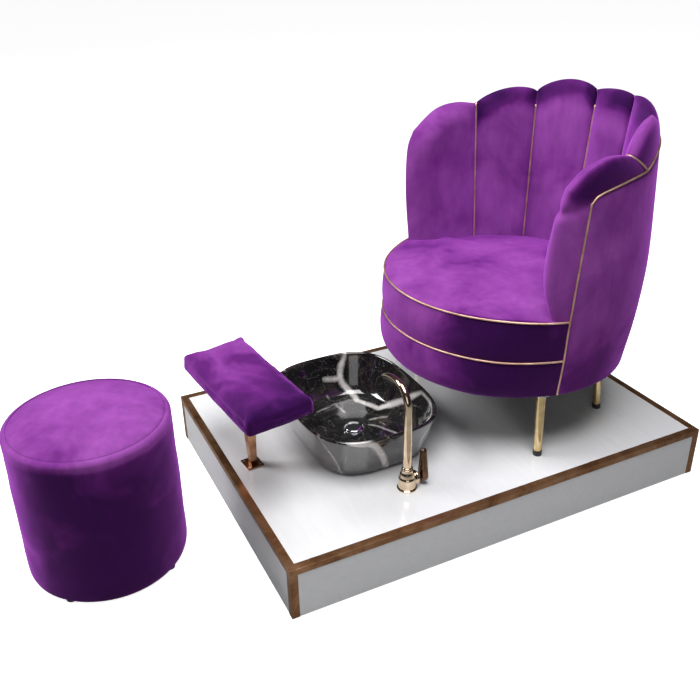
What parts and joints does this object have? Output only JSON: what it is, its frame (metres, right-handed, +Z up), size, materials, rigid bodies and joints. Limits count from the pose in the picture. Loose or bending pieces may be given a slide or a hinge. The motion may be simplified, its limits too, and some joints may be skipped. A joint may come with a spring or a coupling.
{
  "type": "pedicure spa chair",
  "caption": "Shell-back velvet armchair on a low glossy platform with a vessel basin, mixer tap, padded swivelling footrest and a matching round pouf.",
  "frame": {"origin": "on the floor, at the middle of the whole set's footprint (platform, waste spigot and pouf)", "axes": "+Z up, the sitter faces -Y, +X is the sitter's left"},
  "size_m": [0.87, 1.8026, 1.0206],
  "materials": {
    "deck_laminate": "high gloss laminate",
    "trim_bronze": "brushed copper-bronze anodised",
    "plywood": "unfinished plywood",
    "timber": "sawn timber",
    "black_plastic": "satin moulded",
    "zinc_steel": "zinc plated",
    "marble_ceramic": "black marble pattern with white veins, glazed",
    "seal_rubber": "matt",
    "waste_chrome": "polished",
    "white_pvc": "moulded",
    "pale_gold": "polished pale gold plating",
    "lever_bronze": "polished bronze plating",
    "cartridge_plastic": "moulded",
    "braided_steel": "braided",
    "copper_bronze": "satin copper-bronze",
    "purple_velvet": "crushed velvet",
    "gold_piping": "metallic gold piping",
    "leg_gold": "polished gold",
    "webbing": "woven elastic",
    "dust_cloth": "non-woven"
  },
  "bodies": {
    "platform": {"deck_panel": "deck_laminate", "side_panel_left": "deck_laminate", "side_panel_right": "deck_laminate", "front_panel": "deck_laminate", "rear_panel": "deck_laminate", "cross_ribs": "plywood", "foot_blocks": "timber", "levelling_feet": "black_plastic", "edge_trims_short": "trim_bronze", "edge_trims_long": "trim_bronze", "corner_trims": "trim_bronze", "panel_screws": "zinc_steel", "basin_bowl": "marble_ceramic", "basin_seal": "seal_rubber", "drain_flange": "waste_chrome", "drain_washer": "seal_rubber", "drain_nut": "white_pvc", "trap_body": "white_pvc", "drain_pipe": "white_pvc", "drain_outlet": "white_pvc", "faucet_base_ring": "pale_gold", "faucet_body": "pale_gold", "cartridge_housing": "cartridge_plastic", "cartridge_cap": "pale_gold", "faucet_nut": "zinc_steel", "hot_hose": "braided_steel", "cold_hose": "braided_steel", "hot_inlet": "zinc_steel", "cold_inlet": "zinc_steel", "footrest_post": "copper_bronze", "footrest_screws": "zinc_steel", "swivel_screw": "zinc_steel", "chair_legs": "leg_gold", "leg_feet": "black_plastic", "leg_plates": "zinc_steel", "leg_bolts": "zinc_steel", "seat_frame": "plywood", "seat_webbing": "webbing", "seat_cushion": "purple_velvet", "seat_band": "purple_velvet", "back_frame": "plywood", "back_channels": "purple_velvet", "back_cover": "purple_velvet", "seat_piping": "gold_piping", "back_piping": "gold_piping", "dust_cover": "dust_cloth"},
    "spout": {"spout_tube": "pale_gold", "aerator": "pale_gold"},
    "mixer_rotor": {"cartridge_rotor": "cartridge_plastic"},
    "lever": {"lever_stem": "pale_gold", "lever_handle": "lever_bronze"},
    "waste_plug": {"drain_plug": "waste_chrome"},
    "footrest_top": {"footrest_plate": "copper_bronze", "footrest_board": "plywood", "footrest_pad": "purple_velvet"},
    "pouf": {"pouf_frame": "plywood", "pouf_cover": "purple_velvet", "pouf_cushion": "purple_velvet", "pouf_glides": "black_plastic"}
  },
  "joints": [
    {"name": "spout_swivel", "type": "hinge", "parent": "platform", "child": "spout", "pos_m": [0.285, 0.01175, 0.206], "axis": [0, 0, 1], "range_deg": [-70, 70]},
    {"name": "lever_temperature", "type": "hinge", "parent": "platform", "child": "mixer_rotor", "pos_m": [0.285, 0.02835, 0.172], "axis": [0, 1, 0], "range_deg": [-40, 40]},
    {"name": "lever_flow", "type": "hinge", "parent": "mixer_rotor", "child": "lever", "pos_m": [0.285, 0.02835, 0.172], "axis": [-1, 0, 0], "range_deg": [0, 14]},
    {"name": "plug_lift", "type": "slide", "parent": "platform", "child": "waste_plug", "axis": [0, 0, 1], "range_m": [0, 0.009]},
    {"name": "footrest_swivel", "type": "hinge", "parent": "platform", "child": "footrest_top", "pos_m": [0, -0.30425, 0.368], "axis": [0, 0, 1], "range_deg": [-35, 25]},
    {"name": "pouf_place", "type": "slide", "parent": "platform", "child": "pouf", "axis": [0, 1, 0], "range_m": [-0.4, 0]}
  ]
}
